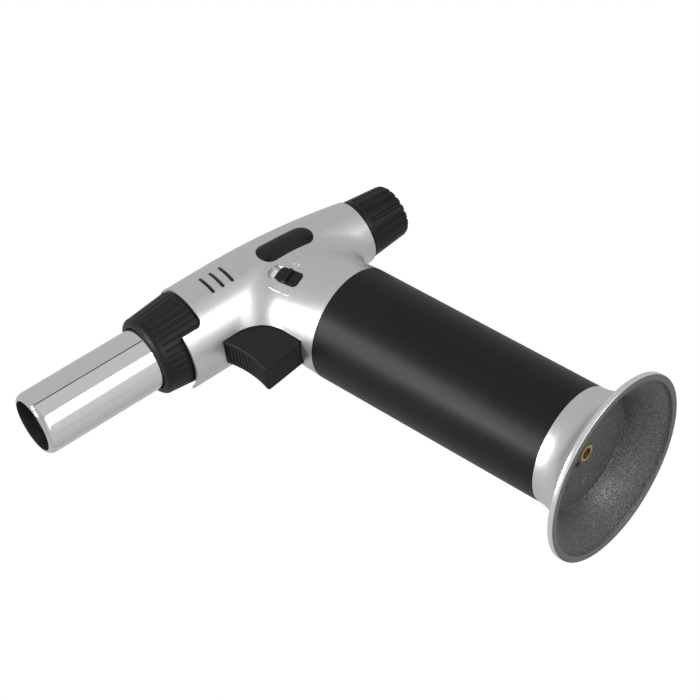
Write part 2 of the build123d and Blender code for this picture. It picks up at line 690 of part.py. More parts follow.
def barrel_form(inset, rear, front):
    """The barrel part of the head, between two stations."""
    middle = (rear + HEAD_TAPER_START) / 2
    arc = [(head_radius(s, inset), s - HEAD_REAR) for s in (rear, middle, HEAD_TAPER_START)]
    straight = Polyline(arc[2], (arc[2][0], front - HEAD_REAR), (0, front - HEAD_REAR),
                        (0, rear - HEAD_REAR), arc[0])
    outline = make_face(ThreePointArc(*arc) + straight)
    return BELLY * revolve(Plane.XZ * outline, Axis.Z)


def neck_form(inset):
    """The neck of the head, round on the handle and narrower where it meets the barrel."""
    low = Plane.XY.offset(SLEEVE_TOP) * Circle(SLEEVE_RADIUS - inset)
    top = Plane.XY.offset(AXIS_HEIGHT) * Ellipse(SLEEVE_RADIUS - inset, NECK_TOP_HALF_WIDTH - inset)
    return loft([low, top])


def head_form(inset=0.0):
    """The outside of the head, or the same form set in by a little."""
    barrel = barrel_form(inset, HEAD_REAR, LIP_FRONT)
    neck = neck_form(inset)
    form = barrel + neck
    return fillet(new_edges(barrel, neck, combined=form), NECK_BLEND + inset)


def head_cavity():
    """The room inside the head's shells."""
    return barrel_form(HEAD_WALL, HEAD_REAR + HEAD_WALL, FRONT_WEB[0]) + neck_form(HEAD_WALL)


def side_cut(outline):
    """A cut right through the head, from an outline in (station, up)."""
    return extrude(SIDE_VIEW * outline, WIDE, both=True)


def front_cut():
    """What is cut away over the air collar, down to the lower lip."""
    outline = Polyline((HEAD_FRONT, WIDE), (HEAD_FRONT, LIP_CUT_LEVEL), (LIP_FRONT + 1, LIP_CUT_LEVEL),
                       (LIP_FRONT + 1, WIDE), close=True)
    face = make_face(outline)
    corner = face.vertices().sort_by(Axis.X)[:2].sort_by(Axis.Y)[0]
    return side_cut(fillet(corner, LIP_CUT_CORNER))


def air_slots():
    """The three slots on each side that let air into the head."""
    cutter = side_cut(Pos(SLOT_STATIONS[0], SLOT_LEVEL) * SlotOverall(SLOT_LENGTH, SLOT_WIDTH, rotation=90))
    for station in SLOT_STATIONS[1:]:
        cutter += side_cut(Pos(station, SLOT_LEVEL) * SlotOverall(SLOT_LENGTH, SLOT_WIDTH, rotation=90))
    return cutter - block((-WIDE, -8, 0), (WIDE, 8, 2 * AXIS_HEIGHT))


def insert_prism(margin):
    """The long rounded shape of a side insert, down to the floor of its recess."""
    outline = Pos(INSERT_STATION, INSERT_LEVEL) * SlotOverall(INSERT_LENGTH + 2 * margin,
                                                            INSERT_HEIGHT + 2 * margin)
    return side_cut(outline) - head_form(INSERT_DEPTH)


def head_webs(cavity):
    """Webs inside the shells that hold the nozzle mount, the valve block and the igniter."""
    webs = tube(LIP_BORE, NOZZLE_RADIUS - 1, MOUNT_FLANGE[0] - FIT - WEB, MOUNT_FLANGE[0] - FIT, BARREL)
    for station in (BLOCK_SPAN[0] + 1, BLOCK_SPAN[1] - 3):
        webs += tube(BLOCK_WEB_RADIUS, BLOCK_RADIUS + FIT, station, station + WEB, BARREL)
    web = block((IGNITER_WEB, -WIDE, IGNITER_HEIGHT - 5), (IGNITER_WEB + WEB, WIDE, IGNITER_HEIGHT + 5))
    webs += web - long_rod(IGNITER_RADIUS + FIT, *IGNITER_SPAN, IGNITER_HEIGHT)
    return (webs & cavity) - side_room(1) - side_room(-1) - trigger_slot()


def side_room(hand):
    """Room beside the igniter: for the gas pipe on the left, for the ignition lead on the right."""
    middle = hand * PIPE_SIDE
    return block((-18, middle - 2.2, PIPE_HEIGHT), (12, middle + 2.2, AXIS_HEIGHT + 2))


def trigger_slot():
    """The opening that the trigger slides through."""
    side = TRIGGER_HALF_WIDTH + GAP
    reach = TRIGGER_BROW_X + 0.6
    return block((OUTLET_X, -side, TRIGGER_BOTTOM - GAP), (reach, side, TRIGGER_BROW_Z + GAP))


def screw_bosses(cavity):
    """Bosses across the head for the shell screws."""
    bosses = [cross_rod(BOSS_RADIUS, *place, -WIDE / 2, WIDE / 2) & cavity for place, seat in SCREWS]
    return bosses[0] + bosses[1] + bosses[2]


def screw_holes():
    """Holes for the shell screws: sunk heads on the right side, blind holes in the left."""
    holes = [cross_rod(SCREW_SHANK + FIT, *place, -seat, SCREW_TIP + GAP)
             + cross_rod(SCREW_HEAD + FIT, *place, -WIDE / 2, -seat) for place, seat in SCREWS]
    return holes[0] + holes[1] + holes[2]


def whole_head():
    """Both head shells in one piece, with their webs and bosses, before anything is cut away."""
    cavity = head_cavity()
    return (head_form() - cavity) + head_webs(cavity) + screw_bosses(cavity)


def head_cuts():
    """Everything that is cut away from the head's shells."""
    mount_hole = NOZZLE_RADIUS + FIT + MOUNT_WALL + FIT
    spindle_hole = SPINDLE_RADIUS + 2 * GAP
    return [
        rod(mount_hole, FRONT_WEB[0] - 1, FRONT_WEB[1] + 1, BARREL),
        rod(LIP_BORE, FRONT_WEB[1], LIP_FRONT + 1, BARREL),
        rod(spindle_hole, HEAD_REAR - 1, HEAD_REAR + HEAD_WALL + 1, BARREL),
        rod(cap_ring_radius() + FIT, SLEEVE_TOP - 1, SLEEVE_TOP + CAP_RING_RISE + FIT),
        front_cut(),
        air_slots(),
        insert_prism(0),
        trigger_slot(),
        lock_pocket(),
        lock_window(),
        screw_holes(),
    ]


def head_shells():
    """The left and the right half of the head, parted at the seam."""
    head = whole_head()
    left = head & block((-WIDE, 0, 0), (WIDE, WIDE, 2 * AXIS_HEIGHT))
    right = head & block((-WIDE, -WIDE, 0), (WIDE, 0, 2 * AXIS_HEIGHT))
    for cut in head_cuts():
        left -= cut
        right -= cut
    return left, right


def side_inserts():
    """The gloss inserts that fill the long recesses, crowned like the head."""
    body = insert_prism(-INSERT_GAP) & head_form(INSERT_RECESS)
    return body & block((-WIDE, 0, 0), (WIDE, WIDE, 2 * AXIS_HEIGHT)), \
        body & block((-WIDE, -WIDE, 0), (WIDE, 0, 2 * AXIS_HEIGHT))


def shell_screws():
    """The screws that hold the shells together."""
    screws = []
    for place, seat in SCREWS:
        screw = cross_rod(SCREW_SHANK, *place, -seat, SCREW_TIP)
        screw += cross_rod(SCREW_HEAD, *place, -seat - SCREW_HEAD_DEPTH, -seat)
        slot = Pos(place[0], -seat - SCREW_HEAD_DEPTH, place[1])
        screws.append(screw - slot * Box(0.6, 1.6, 3.0) - slot * Box(3.0, 1.6, 0.6))
    return Compound(children=screws)


# --- nozzle, burner and collar ----------------------------------------------------------------
def air_holes(radius):
    """Cross holes for air, on two diameters of the barrel."""
    cutter = Cylinder(radius, WIDE / 2, rotation=(90, 0, 0))
    turns = [BARREL * Pos(0, 0, AIR_STATION) * Rot(Z=180 * turn / (AIR_HOLES / 2)) * cutter
             for turn in range(AIR_HOLES // 2)]
    return turns[0] + turns[1]


def nozzle_mount():
    """The ring clamped in the head that carries the nozzle and the air collar."""
    sleeve = NOZZLE_RADIUS + FIT + MOUNT_WALL
    low, high = MOUNT_FLANGE
    mount = rod(HEAD_FRONT_RADIUS - HEAD_WALL - BELLY_DROP - GAP, low, high, BARREL)
    mount += rod(sleeve, high, MOUNT_FRONT, BARREL)
    mount -= rod(NOZZLE_RADIUS + FIT, NOZZLE_REAR, MOUNT_FRONT, BARREL)
    mount -= rod(NOZZLE_RADIUS - 2 * NOZZLE_WALL, low, NOZZLE_REAR, BARREL)
    return mount - air_holes(AIR_HOLE_RADIUS)


def nozzle_tube():
    """The chromed flame tube with its rolled lip."""
    bore = NOZZLE_RADIUS - NOZZLE_WALL
    shoulder = NOZZLE_TIP - NOZZLE_LIP
    neck = NOZZLE_TIP - NOZZLE_LIP / 2
    narrow = NOZZLE_TIP - NOZZLE_MOUTH_LENGTH
    lip_width = NOZZLE_RADIUS - NOZZLE_MOUTH_RADIUS
    crown = (NOZZLE_MOUTH_RADIUS + lip_width * sin(radians(60)), shoulder + NOZZLE_LIP * cos(radians(60)))
    lip = ThreePointArc((NOZZLE_RADIUS, shoulder), crown, (NOZZLE_MOUTH_RADIUS, NOZZLE_TIP))
    wall = Polyline((NOZZLE_MOUTH_RADIUS, NOZZLE_TIP), (NOZZLE_MOUTH_RADIUS, narrow), (bore, narrow - 1),
                    (bore, NOZZLE_REAR), (NOZZLE_RADIUS, NOZZLE_REAR), (NOZZLE_RADIUS, shoulder))
    shell = BARREL * revolve(Plane.XZ * make_face(lip + wall), Axis.Z)
    return shell - air_holes(AIR_HOLE_RADIUS)


def collar_outline():
    """Outline of the air collar: a cone with a rounded nose round the nozzle."""
    sleeve = NOZZLE_RADIUS + FIT + MOUNT_WALL + RUN
    nose = NOZZLE_RADIUS + GAP
    step = MOUNT_FRONT + GAP
    slope = (COLLAR_REAR_RADIUS - COLLAR_FRONT_RADIUS) / (COLLAR_FRONT - COLLAR_REAR)
    return Polyline((sleeve, COLLAR_REAR), (COLLAR_REAR_RADIUS, COLLAR_REAR),
                    (COLLAR_REAR_RADIUS - slope * (COLLAR_FRONT - COLLAR_REAR), COLLAR_FRONT),
                    (nose, COLLAR_FRONT), (nose, step), (sleeve, step), close=True)


def air_collar():
    """The ribbed collar that turns to open or shut the air holes."""
    face = make_face(collar_outline())
    nose = face.vertices().sort_by(Axis.Y)[-2:].sort_by(Axis.X)[-1]
    collar = BARREL * revolve(Plane.XZ * fillet(nose, COLLAR_ROUND), Axis.Z)
    end = COLLAR_FRONT - COLLAR_ROUND
    share = (end - COLLAR_REAR) / (COLLAR_FRONT - COLLAR_REAR)
    end_radius = COLLAR_REAR_RADIUS + share * (COLLAR_FRONT_RADIUS - COLLAR_REAR_RADIUS)
    grooves = lengthwise_grooves(COLLAR_FLUTES, COLLAR_FLUTE_WIDTH, COLLAR_FLUTE_DEPTH,
                                 (COLLAR_REAR_RADIUS, COLLAR_REAR), (end_radius, end), BARREL)
    return collar - grooves


def valve_block():
    """The brass regulator block behind the jet."""
    low, high = BLOCK_SPAN
    body = rod(BLOCK_RADIUS, low, high, BARREL)
    body -= rod(SPINDLE_RADIUS + RUN, low, SPINDLE_SEAT, BARREL)
    body -= rod(0.6, SPINDLE_SEAT, high, BARREL)
    body -= tube(SPINDLE_RADIUS + RUN + 2 * SEAL_SECTION, SPINDLE_RADIUS, low + 1.5,
                 low + 1.5 + 2 * SEAL_SECTION, BARREL)
    port = Plane(origin=barrel_point(0, 0, PIPE_STATION), x_dir=(1, 0, 0), z_dir=(0, 1, 0))
    return body - rod(PIPE_RADIUS - 0.4, SPINDLE_RADIUS, BLOCK_RADIUS, port)


def spindle_seal():
    """The O-ring that seals the spindle."""
    minor = SEAL_SECTION - FIT
    middle = BLOCK_SPAN[0] + 1.5 + SEAL_SECTION
    return BARREL * Pos(0, 0, middle) * Torus(SPINDLE_RADIUS + RUN + SEAL_SECTION, minor)


def packing_nut():
    """The hexagon nut on the back of the valve block."""
    low = BLOCK_SPAN[0] - NUT_LENGTH
    hexagon = extrude(RegularPolygon(NUT_ACROSS_FLATS / 2, 6, major_radius=False), NUT_LENGTH)
    hole = rod(SPINDLE_RADIUS + NUT_HOLE_CLEARANCE, low, BLOCK_SPAN[0], BARREL)
    return BARREL * Pos(0, 0, low) * hexagon - hole


def gas_jet():
    """The jet that sprays gas into the burner tube."""
    base = BURNER_TUBE_BORE - FIT
    body = rod(base, BLOCK_SPAN[1], BURNER_REAR + 2, BARREL)
    body += rod(JET_RADIUS, BURNER_REAR + 2, JET_TIP, BARREL)
    return body - rod(0.4, BLOCK_SPAN[1], JET_TIP, BARREL)


def burner_tube():
    """The tube that the gas and the air mix in."""
    body = tube(BURNER_TUBE_RADIUS, BURNER_TUBE_BORE, BURNER_REAR, BURNER_FRONT, BARREL)
    cutter = Cylinder(1.5, 4 * BURNER_TUBE_RADIUS, rotation=(90, 0, 0))
    for turn in (0, 90):
        body -= BARREL * Pos(0, 0, JET_TIP + 3) * Rot(Z=turn) * cutter
    return body


def burner_head():
    """The drilled flame holder near the end of the burner tube."""
    low, high = BURNER_HEAD
    head = tube(NOZZLE_RADIUS - NOZZLE_WALL - FIT, BURNER_TUBE_RADIUS + FIT, low, high, BARREL)
    for turn in range(12):
        hole = Rot(Z=30 * turn + 15) * Pos(ELECTRODE_OFFSET + 0.3, 0, 0) * rod(0.9, low, high)
        head -= BARREL * hole
    return head - rod(ELECTRODE_RADIUS + GAP, low, high, electrode_frame())


def electrode_frame():
    """The barrel's frame, moved to the electrode's axis."""
    return Plane(origin=barrel_point(0, ELECTRODE_OFFSET, 0), x_dir=(0, 1, 0), z_dir=BARREL.z_dir)


def electrode():
    """The steel wire that the spark jumps from."""
    return rod(ELECTRODE_RADIUS, *ELECTRODE_SPAN, electrode_frame())


def electrode_insulator():
    """The ceramic tube round the electrode."""
    return tube(INSULATOR_RADIUS, ELECTRODE_RADIUS + FIT, *INSULATOR_SPAN, electrode_frame())


def gas_pipe():
    """The pipe from the outlet valve to the valve block, inside the neck."""
    return swept_rod(PIPE_RADIUS, pipe_points(), PIPE_BEND)


def pipe_points():
    """Corners of the gas pipe's route."""
    block_side = barrel_point(BLOCK_RADIUS, 0, PIPE_STATION)
    return [(OUTLET_X, OUTLET_RADIUS, PIPE_HEIGHT), (OUTLET_X, PIPE_SIDE, PIPE_HEIGHT),
            (block_side.X, PIPE_SIDE, block_side.Z), block_side]


def spindle():
    """The needle spindle that the gas knob turns."""
    rear = KNOB_REAR + KNOB_WALL + 2
    stem = rod(SPINDLE_RADIUS, rear, SPINDLE_SEAT - 2, BARREL)
    needle = turned([(0, SPINDLE_SEAT - 2), (SPINDLE_RADIUS, SPINDLE_SEAT - 2), (0.5, SPINDLE_SEAT - RUN),
                     (0, SPINDLE_SEAT - RUN)], BARREL)
    return stem + needle


def gas_knob():
    """The grooved knob behind the head that sets the gas flow."""
    face = make_face(Polyline((0, KNOB_FRONT), (KNOB_FRONT_RADIUS, KNOB_FRONT), (KNOB_REAR_RADIUS, KNOB_REAR),
                              (0, KNOB_REAR), close=True))
    rear_corner = face.vertices().sort_by(Axis.Y)[:2].sort_by(Axis.X)[-1]
    knob = BARREL * revolve(Plane.XZ * fillet(rear_corner, KNOB_ROUND), Axis.Z)
    knob -= tube(KNOB_REAR_RADIUS - KNOB_WALL, KNOB_HUB_RADIUS, KNOB_REAR + KNOB_WALL, KNOB_FRONT, BARREL)
    knob -= rod(SPINDLE_RADIUS + FIT, KNOB_REAR + KNOB_WALL + 2, KNOB_FRONT, BARREL)
    start = KNOB_FRONT - KNOB_BAND
    share = (start - KNOB_REAR) / (KNOB_FRONT - KNOB_REAR)
    start_radius = KNOB_REAR_RADIUS + share * (KNOB_FRONT_RADIUS - KNOB_REAR_RADIUS)
    grooves = lengthwise_grooves(KNOB_GROOVES, KNOB_GROOVE_WIDTH, KNOB_GROOVE_DEPTH,
                                 (KNOB_REAR_RADIUS, KNOB_REAR), (start_radius, start), BARREL)
    return knob - grooves


def all_parts():
    """Every node of the torch, by name."""
    left_shell, right_shell = head_shells()
    left_insert, right_insert = side_inserts()
    return {
        "base_bell": base_bell(),
        "base_plate": base_plate(),
        "plate_screw": plate_screw(),
        "handle_sleeve": handle_sleeve(),
        "tank_body": tank_body(),
        "tank_cap": tank_cap(),
        "tank_seal": tank_seal(),
        "wick": wick(),
        "fill_valve_body": fill_valve_body(),
        "fill_seal": fill_seal(),
        "fill_stem": fill_stem(),
        "fill_spring": fill_spring(),
        "outlet_valve_body": outlet_valve_body(),
        "outlet_stem": outlet_stem(),
        "outlet_spring": outlet_spring(),
        "lever_bracket": lever_bracket(),
        "lever_pin": lever_pin(),
        "gas_lever": gas_lever(),
        "igniter_body": igniter_body(),
        "igniter_plunger": igniter_plunger(),
        "igniter_spring": igniter_spring(),
        "ignition_lead": ignition_lead(),
        "electrode": electrode(),
        "electrode_insulator": electrode_insulator(),
        "gas_pipe": gas_pipe(),
        "valve_block": valve_block(),
        "spindle_seal": spindle_seal(),
        "packing_nut": packing_nut(),
        "gas_jet": gas_jet(),
        "burner_tube": burner_tube(),
        "burner_head": burner_head(),
        "nozzle_mount": nozzle_mount(),
        "nozzle_tube": nozzle_tube(),
        "air_collar": air_collar(),
        "head_shell_left": left_shell,
        "head_shell_right": right_shell,
        "side_insert_left": left_insert,
        "side_insert_right": right_insert,
        "shell_screws": shell_screws(),
        "trigger": trigger(),
        "lock_slider": lock_slider(),
        "spindle": spindle(),
        "gas_knob": gas_knob(),
    }


os.makedirs("parts", exist_ok=True)
for name, shape in all_parts().items():
    export_step(shape, f"parts/{name}.step")
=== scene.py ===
import json
import math

import bpy
from mathutils import Matrix, Vector
from mathutils.bvhtree import BVHTree

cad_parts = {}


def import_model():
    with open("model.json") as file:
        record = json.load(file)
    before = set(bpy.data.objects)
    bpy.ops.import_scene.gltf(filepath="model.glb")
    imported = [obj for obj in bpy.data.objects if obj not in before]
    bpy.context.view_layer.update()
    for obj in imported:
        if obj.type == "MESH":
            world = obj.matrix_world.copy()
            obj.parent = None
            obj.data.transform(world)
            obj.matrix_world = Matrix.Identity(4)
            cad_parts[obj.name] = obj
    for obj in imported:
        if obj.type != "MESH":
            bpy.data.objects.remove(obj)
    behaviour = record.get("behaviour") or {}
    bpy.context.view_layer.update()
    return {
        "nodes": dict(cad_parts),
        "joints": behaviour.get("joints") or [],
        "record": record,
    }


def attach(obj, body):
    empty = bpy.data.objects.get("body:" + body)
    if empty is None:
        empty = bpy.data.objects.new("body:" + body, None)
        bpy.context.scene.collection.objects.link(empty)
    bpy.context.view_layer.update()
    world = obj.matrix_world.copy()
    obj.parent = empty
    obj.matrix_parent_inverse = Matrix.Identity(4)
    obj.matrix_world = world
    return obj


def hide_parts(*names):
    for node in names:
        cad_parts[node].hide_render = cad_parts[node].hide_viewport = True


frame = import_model()
MM = 0.001

# The knob's joint gives the barrel's axis, and the handle stands on the frame's own Z axis.
KNOB_JOINT = next(j for j in frame["joints"] if j["name"] == "gas_knob_turn")
LOCK_JOINT = next(j for j in frame["joints"] if j["name"] == "lock_slide")
FORWARD = Vector(KNOB_JOINT["axis"]).normalized()
LEFT = Vector((0, 1, 0))
UP = FORWARD.cross(LEFT).normalized()
CROSSING = Vector((0, 0, Vector(KNOB_JOINT["pos_m"]).z - KNOB_JOINT["pos_m"][0] * FORWARD.z / FORWARD.x))
BARREL = Matrix.Translation(CROSSING) @ Matrix((LEFT, UP, FORWARD)).transposed().to_4x4()
HANDLE = Matrix.Identity(4)


# --- shader maths -----------------------------------------------------------------------------
class Wire:
    """A shader socket that can be written in sums."""

    def __init__(self, kit, socket):
        self.kit, self.socket = kit, socket

    def maths(self, work, *values):
        return self.kit.add("ShaderNodeMath", {"operation": work}, *values)

    def __add__(self, other):
        return self.maths("ADD", self, other)

    def __sub__(self, other):
        return self.maths("SUBTRACT", self, other)

    def __mul__(self, other):
        return self.maths("MULTIPLY", self, other)

    def __rsub__(self, other):
        return self.maths("SUBTRACT", other, self)

    __radd__, __rmul__ = __add__, __mul__


class Kit:
    """One material and the nodes in it."""

    def __init__(self, name):
        self.material = bpy.data.materials.new(name)
        self.material.use_nodes = True
        self.tree = self.material.node_tree
        self.shader = self.tree.nodes["Principled BSDF"]
        self.place = self.add("ShaderNodeTexCoord", {}, out="Object")

    def add(self, kind, settings, *values, out=0, **named):
        node = self.tree.nodes.new(kind)
        for key, value in settings.items():
            setattr(node, key, value)
        for key, value in [*enumerate(values), *((k.replace("_", " "), v) for k, v in named.items())]:
            self.feed(node.inputs[key], value)
        return Wire(self, node.outputs[out])

    def feed(self, socket, value):
        if isinstance(value, Wire):
            self.tree.links.new(value.socket, socket)
        else:
            socket.default_value = value

    def set(self, **named):
        for key, value in named.items():
            self.feed(self.shader.inputs[key.replace("_", " ")], value)
        return self

    def noise(self, grain, detail=2.0, roughness=0.5):
        """Cloudy noise between 0 and 1; grain is the size of its features in mm."""
        return self.add("ShaderNodeTexNoise", {"noise_dimensions": "3D"}, Vector=self.place,
                        Scale=1 / (grain * MM), Detail=detail, Roughness=roughness)

    def cells(self, grain):
        """Distance to the nearest of many scattered points, for grit and flakes."""
        return self.add("ShaderNodeTexVoronoi", {"feature": "F1"}, Vector=self.place, Scale=1 / (grain * MM))

    def flakes(self, grain):
        """One random grey for each small flake."""
        colour = self.add("ShaderNodeTexVoronoi", {"feature": "F1"}, Vector=self.place,
                          Scale=1 / (grain * MM), out="Color")
        return self.add("ShaderNodeSeparateColor", {}, colour)

    def step(self, value, low, high):
        """0 below low and 1 above high."""
        smooth = {"interpolation_type": "SMOOTHSTEP"}
        return self.add("ShaderNodeMapRange", smooth, value, low, high, 0.0, 1.0)

    def mix(self, share, first, second):
        node = self.tree.nodes.new("ShaderNodeMix")
        node.data_type = "RGBA"
        self.feed(node.inputs[0], share)
        self.feed(node.inputs[6], first)
        self.feed(node.inputs[7], second)
        return Wire(self, node.outputs[2])

    def bump(self, height, depth, strength=1.0):
        """Surface relief; depth is in mm."""
        node = self.tree.nodes.new("ShaderNodeBump")
        node.inputs["Distance"].default_value = depth * MM
        node.inputs["Strength"].default_value = strength
        self.feed(node.inputs["Height"], height)
        self.set(Normal=Wire(self, node.outputs[0]))
        return self


def grey(value, tint=0.0):
    return (value - tint, value, value + tint, 1)


def silver_paint():
    kit = Kit("silver_paint")
    flake = kit.flakes(0.16)
    drift = kit.noise(9.0, 2)
    kit.set(Base_Color=kit.mix(flake, grey(0.68), grey(0.80)),
            Metallic=0.9,
            Roughness=0.30 + 0.08 * flake + 0.05 * drift,
            Coat_Weight=0.25, Coat_Roughness=0.22)
    return kit.bump(kit.noise(0.30, 2), 0.006, 0.5).material


def highlight_painted_silver():
    # A lighter, glossier copy of the silver paint: a painted highlight for edges and raised marks.
    kit = Kit("highlight_painted_silver")
    flake = kit.flakes(0.16)
    kit.set(Base_Color=kit.mix(flake, grey(0.80), grey(0.90)), Metallic=0.8,
            Roughness=0.22 + 0.06 * flake, Coat_Weight=0.3, Coat_Roughness=0.15)
    return kit.bump(kit.noise(0.4, 1), 0.004, 0.4).material


def sand_paint(name, dark, light, depth):
    """The dark, gritty paint inside the base."""
    kit = Kit(name)
    grit = kit.noise(0.42, 3, 0.62)
    spark = kit.step(kit.flakes(0.22), 0.55, 1.0) * 0.45
    ground = kit.mix(kit.step(grit, 0.35, 0.68), grey(dark), grey(light))
    kit.set(Base_Color=kit.mix(spark, ground, grey(0.42)),
            Metallic=0.35 + 0.35 * spark,
            Roughness=0.50 - 0.16 * spark)
    return kit.bump(grit + 0.5 * kit.cells(0.55), depth, 0.9).material


def rim_paint():
    """The plain grey paint of the flat ring the base stands on."""
    kit = Kit("rim_paint")
    grit = kit.noise(0.35, 3, 0.6)
    kit.set(Base_Color=kit.mix(grit, grey(0.14), grey(0.22)), Metallic=0.5, Roughness=0.42 + 0.1 * grit)
    return kit.bump(grit, 0.03, 0.5).material


def satin_black(name, base=0.012, rough=0.36, grain=0.28, depth=0.012, mottle=0.004):
    """Black moulded plastic or coating, with a fine spark-eroded grain."""
    kit = Kit(name)
    fine = kit.noise(grain, 3, 0.6)
    broad = kit.noise(11.0, 2)
    kit.set(Base_Color=kit.mix(broad, grey(base), grey(base + mottle)),
            Roughness=rough + 0.10 * fine + 0.04 * broad, Specular_IOR_Level=0.22)
    return kit.bump(fine, depth, 0.6).material


def gloss_black():
    kit = Kit("gloss_black")
    haze = kit.noise(7.0, 2)
    kit.set(Base_Color=kit.mix(haze, grey(0.008), grey(0.012)), Roughness=0.10 + 0.07 * haze,
            Coat_Weight=0.25, Coat_Roughness=0.08, Specular_IOR_Level=0.2)
    return kit.bump(kit.noise(2.0, 1), 0.004, 0.3).material


def chrome():
    kit = Kit("chrome")
    haze = kit.noise(6.0, 3)
    kit.set(Base_Color=kit.mix(haze, grey(0.84, 0.004), grey(0.88, 0.004)), Metallic=1.0,
            Roughness=0.035 + 0.045 * haze)
    return kit.bump(kit.noise(3.0, 1), 0.002, 0.2).material


def heated_steel():
    """The unpolished steel inside the flame tube, darkened by heat."""
    kit = Kit("heated_steel")
    soot = kit.noise(4.0, 4, 0.6)
    kit.set(Base_Color=kit.mix(soot, grey(0.09, 0.002), (0.20, 0.19, 0.185, 1)), Metallic=0.9,
            Roughness=0.28 + 0.2 * soot)
    return kit.bump(kit.noise(0.6, 2), 0.01, 0.4).material


def metal(name, colour, shine, rough=0.25):
    """Turned or drawn metal with fine tool marks and a little tarnish."""
    kit = Kit(name)
    tarnish = kit.noise(1.6, 3)
    dull = tuple(0.72 * c for c in colour)
    kit.set(Base_Color=kit.mix(tarnish, (*dull, 1), (*colour, 1)), Metallic=shine,
            Roughness=rough + 0.14 * tarnish)
    return kit.bump(kit.noise(0.18, 2), 0.006, 0.5).material


def soft_plain(name, colour, rough=0.55, grain=0.5, depth=0.01):
    """Nylon, rubber, felt or ceramic: a plain colour with its own grain."""
    kit = Kit(name)
    fleck = kit.noise(grain, 3, 0.6)
    dull = tuple(0.86 * c for c in colour)
    kit.set(Base_Color=kit.mix(fleck, (*dull, 1), (*colour, 1)), Roughness=rough + 0.12 * fleck)
    return kit.bump(fleck, depth, 0.6).material


# The second paint is the silver with a painted highlight, for the foot's upright rim and the raised marks.
SILVER, SILVER_PAINTED_HIGHLIGHT = silver_paint(), highlight_painted_silver()
SAND = sand_paint("sand_paint", 0.055, 0.13, 0.05)
PLATE_SAND = sand_paint("plate_sand_paint", 0.06, 0.10, 0.025)
RIM = rim_paint()
SLEEVE_BLACK = satin_black("sleeve_black", 0.007, 0.34, 0.30, 0.012)
PLASTIC_BLACK = satin_black("plastic_black", 0.011, 0.34, 0.32, 0.012)
TRIGGER_BLACK = satin_black("trigger_black", 0.012, 0.42, 0.35, 0.02)
GLOSS, CHROME, HEATED = gloss_black(), chrome(), heated_steel()
BY_SLOT = {
    "silver_paint": SILVER, "grey_casting": PLATE_SAND, "black_sleeve": SLEEVE_BLACK,
    "black_plastic": PLASTIC_BLACK, "gloss_black": GLOSS, "chrome": CHROME,
    "brass": metal("turned_brass", (0.80, 0.56, 0.24), 1.0),
    "copper": metal("copper_tube", (0.80, 0.42, 0.28), 1.0),
    "steel": metal("plain_steel", (0.62, 0.62, 0.64), 1.0),
    "dark_casting": metal("dark_casting", (0.08, 0.08, 0.08), 0.6, 0.5),
    "tank_nylon": soft_plain("tank_nylon", (0.75, 0.73, 0.68)),
    "seal_rubber": soft_plain("seal_rubber", (0.03, 0.03, 0.03), 0.6),
    "felt": soft_plain("wick_felt", (0.82, 0.80, 0.74), 0.85, 0.3, 0.06),
    "white_plastic": soft_plain("white_plastic", (0.84, 0.84, 0.82), 0.4),
    "lead_rubber": soft_plain("lead_rubber", (0.05, 0.05, 0.05), 0.5),
    "ceramic": soft_plain("fired_ceramic", (0.88, 0.86, 0.82), 0.5),
}


# --- dressing the frame's own nodes -----------------------------------------------------------
def dress(node, material, edge=0.0):
    """Give a carried-over node its material, and round its sharp edges by a little."""
    piece = frame["nodes"][node]
    piece.data.materials.clear()
    piece.data.materials.append(material)
    for face in piece.data.polygons:
        face.material_index = 0
    if edge:
        weld = piece.modifiers.new("weld", "WELD")
        weld.merge_threshold = 0.002 * MM
        bevel = piece.modifiers.new("edge", "BEVEL")
        bevel.width, bevel.segments, bevel.angle_limit = edge * MM, 2, math.radians(35)
        bevel.limit_method = "ANGLE"
        bevel.harden_normals = True


def dress_all():
    edges = {"lock_slider": 0.12, "trigger": 0.15}
    own = {"trigger": TRIGGER_BLACK}
    for entry in frame["record"]["subparts"]:
        node = entry["node"]
        dress(node, own.get(node, BY_SLOT[entry["material_slot"]]), edges.get(node, 0.0))


# --- turned pieces ----------------------------------------------------------------------------
def place(piece_mesh, name, body, materials):
    piece = bpy.data.objects.new(name, piece_mesh)
    bpy.context.scene.collection.objects.link(piece)
    for material in materials:
        piece.data.materials.append(material)
    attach(piece, body)
    return piece


def lathe(name, stations, columns, where, relief=None, loop=False):
    """Turn (radius, height, material) stations about where's Z axis, in mm.

    relief(turn, radius, height) moves the skin outward, for flutes and ribs."""
    points, faces, paints = [], [], []
    for radius, height, paint in stations:
        for c in range(columns):
            turn = math.tau * c / columns
            r = radius + (relief(turn, radius, height) if relief else 0.0)
            points.append(where @ (Vector((r * math.cos(turn), r * math.sin(turn), height)) * MM))
    rows = len(stations)
    for row in range(rows if loop else rows - 1):
        below, above = row * columns, (row + 1) % rows * columns
        for c in range(columns):
            n = (c + 1) % columns
            faces.append((below + c, below + n, above + n, above + c))
            paints.append(stations[row][2])
    mesh = bpy.data.meshes.new(name)
    mesh.from_pydata(points, [], faces)
    mesh.polygons.foreach_set("material_index", paints)
    mesh.polygons.foreach_set("use_smooth", [True] * len(faces))
    mesh.update()
    return mesh


def arc(centre, radius, start, end, steps, paint=0):
    """Stations along a rounded corner; angles are in degrees from the radial direction."""
    turns = [math.radians(start + (end - start) * i / steps) for i in range(steps + 1)]
    return [(centre[0] + radius * math.cos(t), centre[1] + radius * math.sin(t), paint) for t in turns]


def tight(stations, reach=0.04):
    """Keep the corners between straight runs crisp: a station close to each end of each run."""
    out = []
    for i, (r, z, paint) in enumerate(stations):
        if i:
            pr, pz, pp = stations[i - 1]
            gap = math.hypot(r - pr, z - pz)
            if gap > 4 * reach:
                for share in (reach / gap, 1 - reach / gap):
                    out.append((pr + (r - pr) * share, pz + (z - pz) * share, pp))
        out.append((r, z, paint))
    return out


